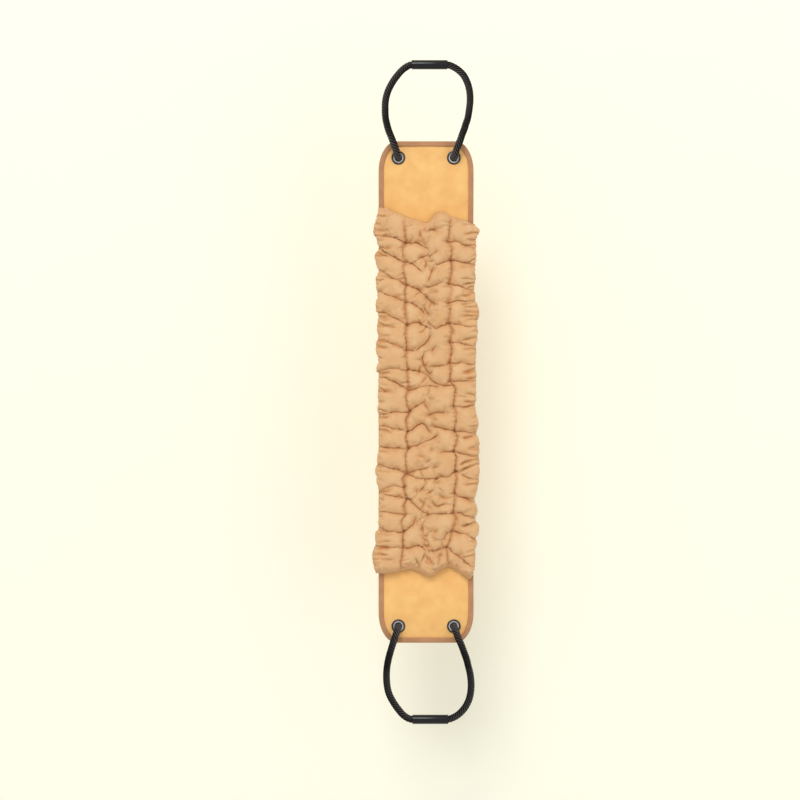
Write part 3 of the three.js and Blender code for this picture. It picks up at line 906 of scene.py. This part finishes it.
def crease_ruffle(a, y):
    """Every crease of the ruffle: its seams, pleats and centre folds, then the small gathers round them."""
    rng = np.random.default_rng(71)
    creases = Creases(a, y)
    for pleats, out in ((LEFT_PLEATS, -1), (RIGHT_PLEATS, 1)):
        seam = [(x, along) for x, along, _, _ in pleats]
        seam = [(seam[0][0], 270)] + seam + [(seam[-1][0], -275)]
        for start, end in zip(seam, seam[1:]):
            bulge = out * rng.uniform(1.5, 4.5)
            middle = ((start[0] + end[0]) / 2 + bulge, 0.55 * start[1] + 0.45 * end[1])
            # Each seam is darkened along its line: painted shade, and the deeper colour of net bunched
            # there.
            depth, dark = rng.uniform(0.32, 0.55), rng.uniform(0.2, 0.4)
            creases.press([start, middle, end], depth, 6, 6, dark, 0.8)
        for pleat in pleats:
            creases.fold(pleat_line(pleat, out, rng), pleat[3])
        for along in np.arange(-255, 252, 4.6):
            start = (out * rng.uniform(74, 84), along + rng.uniform(-2, 2))
            size = rng.uniform(12, 36)
            tip = (start[0] - out * size, start[1] - size * rng.uniform(-0.1, 0.3))
            # Each small wrinkle is darkened in step with its depth, partly as painted shade.
            deep = rng.uniform(0.1, 0.5)
            creases.press([start, tip], deep, 2.6, 4, 1.2 * deep, 0.9, (False, True))
        for along in np.arange(-244, 236, 5.5):
            across = np.interp(along, [p[1] for p in reversed(pleats)], [p[0] for p in reversed(pleats)])
            for turn in (-1, 1):
                tip = (across + turn * rng.uniform(7, 16), along + rng.uniform(-3, 3))
                creases.press([(across, along), tip], rng.uniform(0.03, 0.16), 2.6, 3, free=(False, True))
    for fold in CENTRE_FOLDS:
        creases.fold(fold, rng.uniform(0.65, 0.9), (abs(fold[0][0]) < 20, abs(fold[-1][0]) < 24))
    for _ in range(260):
        # These lie closer together towards the lower end.
        middle = np.array([rng.normal(4, 9), -250 + 486 * rng.uniform(0, 1) ** 1.3])
        heading = rng.uniform(0, math.pi)
        half = rng.uniform(3, 9) * np.array([math.cos(heading), math.sin(heading)])
        # Each crumple is darkened in step with its depth, partly as painted shade.
        deep = rng.uniform(0.12, 0.5)
        creases.press([middle - half, middle + half], deep, 3, 4.5, 1.1 * deep, 1.0, (True, True))
    return creases


def side_profile(a, half):
    """Across the ruffle: a flat top, a rounded shoulder, a short side and a hem tucked under."""
    shoulder, tuck = 9.0, 4.0
    flat = half - shoulder
    arc = shoulder * math.pi / 2
    drop = RUFFLE_CREST - 2 - shoulder - tuck
    bend = tuck * math.pi / 2
    s = np.abs(a)
    over = np.clip((s - flat) / arc, 0, 1) * math.pi / 2
    down = np.clip((s - flat - arc) / drop, 0, 1)
    under = np.clip((s - flat - arc - drop) / bend, 0, 1) * math.pi / 2
    rest = np.maximum(s - flat - arc - drop - bend, 0)
    x = np.minimum(s, flat) + shoulder * np.sin(over) - tuck * (1 - np.cos(under)) - rest
    z = RUFFLE_CREST - shoulder * (1 - np.cos(over)) - drop * down - tuck * np.sin(under)
    turn = over + under
    return np.sign(a) * x, z, np.sign(a) * np.sin(turn), np.cos(turn)


def ruffle_surface():
    """The net's outer surface as a grid of points, and how deep in a fold each point lies."""
    across = np.linspace(-RUFFLE_REACH, RUFFLE_REACH, round(2 * RUFFLE_REACH / RUFFLE_STEP) + 1)
    along = np.linspace(0, 1, round(505 / RUFFLE_STEP))
    a, v = np.meshgrid(across, along)
    low, high = line_through(LOWER_HEM, a), line_through(UPPER_HEM, a)
    y = low * (1 - v) + high * v
    creases = crease_ruffle(a, y)
    share = creases.share
    # tone: darker along the crease lines and where the net sinks, partly painted shade.
    tone = np.minimum(creases.tone + 0.3 * (1 - share), 1)
    half = np.where(a < 0, line_through(LEFT_EDGE, y), line_through(RIGHT_EDGE, y))
    half = np.maximum(half, HALF_WIDTH - 0.5) + 1.0
    x, z, nx, nz = side_profile(a, half)
    side = smoothstep((np.abs(a) - 52) / 18)
    sink = (12 * (1 - side) + 4 * side) * (1 - share)
    soft = 1.6 * noise2(a / 22, y / 22, 38) + 0.7 * noise2(a / 9, y / 9, 39) - 0.5
    lift = soft * (1 - 0.4 * side) - sink - 2.0 * side * (1 - side)
    end_gap = np.minimum(high - y, y - low)
    rolled = 1 - (1 - np.clip(end_gap / 13, 0, 1)) ** 2.2
    x = x + nx * lift
    z = RUFFLE_LOW + rise(y) + np.maximum(z * rolled + nz * lift * np.sqrt(rolled), 0) + 0.7
    y = y + 1.2 * noise2(a / 11, y / 11, 40) - np.minimum(creases.slip, 3.0) * rolled
    grid = np.stack([x, y, z], axis=-1)
    held = np.clip(1.6 * creases.tone, 0, 1)
    for border in (held[:3], held[-3:], held[:, :6], held[:, -6:]):
        border[:] = 1
    return settle(grid, held), tone


def settle(grid, held, frames=14, times=10):
    """The net let go between its stitches: cloth simulation gives it spare cloth, which wrinkles.

    It is simulated at a larger size, where Blender's Cloth is steady. Points with held at 1 stay put.
    """
    rows, cols = grid.shape[:2]
    slack = add_object("slack_net", grid.reshape(-1, 3) * times, grid_quads(rows, cols).tolist())
    pins = slack.vertex_groups.new(name="held")
    levels = np.round(held.ravel() * 10).astype(int)
    for level in range(1, 11):
        pins.add(np.flatnonzero(levels == level).tolist(), level / 10, "REPLACE")
    cloth = slack.modifiers.new("net", "CLOTH")
    cloth.settings.quality = 4
    cloth.settings.mass = 0.1
    cloth.settings.tension_stiffness = 20
    cloth.settings.compression_stiffness = 20
    cloth.settings.bending_stiffness = 0.35
    cloth.settings.air_damping = 2
    cloth.settings.shrink_min = -0.12
    cloth.settings.effector_weights.gravity = 0
    cloth.settings.vertex_group_mass = "held"
    cloth.settings.use_pressure = True
    cloth.settings.uniform_pressure_force = 4
    cloth.collision_settings.use_collision = False
    cloth.point_cache.frame_end = frames
    for frame_number in range(1, frames + 1):
        bpy.context.scene.frame_set(frame_number)
    settled = np.empty(rows * cols * 3, dtype=np.float32)
    slack.evaluated_get(bpy.context.evaluated_depsgraph_get()).data.vertices.foreach_get("co", settled)
    bpy.data.objects.remove(slack)
    bpy.context.scene.frame_set(1)
    moved = settled.reshape(grid.shape) / (MM * times) - grid
    far = np.linalg.norm(moved, axis=2, keepdims=True)
    return grid + moved * np.minimum(1, SETTLE_LIMIT / np.maximum(far, 1e-6))


def grid_quads(rows, cols):
    index = np.arange(rows * cols).reshape(rows, cols)
    corners = [index[:-1, :-1], index[:-1, 1:], index[1:, 1:], index[1:, :-1]]
    return np.stack(corners, axis=-1).reshape(-1, 4)


def grid_normals(grid):
    normal = np.cross(np.gradient(grid, axis=1), np.gradient(grid, axis=0))
    return normal / np.linalg.norm(normal, axis=2)[..., None]


def net_sheet(name, grid, normals, uv, tone, thick=0.6):
    """A sheet with thickness: the grid, a second layer under it, and the edge between them."""
    rows, cols = grid.shape[:2]
    count = rows * cols
    index = np.arange(count).reshape(rows, cols)
    quads = grid_quads(rows, cols)
    ring = np.concatenate([index[0, :], index[1:, -1], index[-1, -2::-1], index[-2:0:-1, 0]])
    after = np.roll(ring, -1)
    edge = np.stack([after, ring, ring + count, after + count], axis=-1)
    faces = np.concatenate([quads, quads[:, ::-1] + count, edge])
    verts = np.concatenate([grid, grid - normals * thick]).reshape(-1, 3)
    item = add_object(name, verts, faces.tolist(), np.concatenate([uv, uv]).reshape(-1, 2))
    facing = np.concatenate([normals, -normals]).reshape(-1, 3)
    item.data.normals_split_custom_set_from_vertices(facing.tolist())
    # The fold attribute carries the net's darkening in its folds, partly painted shade, to its material.
    folds = item.data.attributes.new("fold", "FLOAT", "POINT")
    folds.data.foreach_set("value", np.concatenate([tone, tone]).ravel().astype(np.float32))
    return item


def make_ruffle():
    grid, tone = ruffle_surface()
    normals = grid_normals(grid)
    rows, cols = grid.shape[:2]
    uv = np.stack(np.meshgrid(np.linspace(-1.15, 1.15, cols), np.linspace(0, 5.5, rows)), axis=-1)
    middle = int(np.argmin(np.abs(grid[:, cols // 2, 1])))
    for end, part in {"lower": slice(0, middle + 1), "upper": slice(middle, rows)}.items():
        item = net_sheet(f"net_ruffle_{end}", grid[part], normals[part], uv[part], tone[part])
        nodes = [f"ruffle_{end}"] + (["ruffle_middle"] if end == "upper" else [])
        finish_half(item, end, "ruffle_net", "ruffle_mesh", *nodes)


# ---- Floor and lights ----
def soft_light(name, place, size, power):
    """A square lamp that faces the strap's middle."""
    lamp = bpy.data.objects.new(name, bpy.data.lights.new(name, "AREA"))
    lamp.data.size = size
    lamp.data.energy = power
    lamp.location = place
    lamp.rotation_euler = Vector(place).to_track_quat("Z", "Y").to_euler()
    bpy.context.collection.objects.link(lamp)


def make_stage():
    # The floor lies below the lowest that an end of the strap can hang, so that no bend is hidden.
    tip = SLEEVE["upper"][1] + SLEEVE_RADIUS
    hang = (tip - FLEX_Y) * math.sin(math.radians(FLEX_LIMIT)) + FLOOR_GAP
    bpy.ops.mesh.primitive_plane_add(size=16, location=(0, 0, -hang * MM))
    floor = bpy.context.object
    floor.name = "floor"
    floor.data.materials.append(material("pale_floor"))
    world = bpy.data.worlds.new("studio")
    bpy.context.scene.world = world
    world.use_nodes = True
    backdrop = world.node_tree.nodes["Background"]
    backdrop.inputs["Color"].default_value = (1.0, 0.99, 0.95, 1)
    backdrop.inputs["Strength"].default_value = 0.72
    soft_light("key", (-0.8, 3.2, 4.0), 1.8, 95)
    soft_light("fill", (2.6, -1.0, 3.8), 2.5, 20)
    bpy.context.scene.view_settings.view_transform = "Standard"


make_camera()
for end_name in ENDS:
    make_handle(end_name)
    make_crossing(end_name)
for end_name in ENDS:
    make_pad(end_name)
    make_binding(end_name)
    make_stitches(end_name)
    make_eyelets(end_name)
make_ruffle()
make_stage()
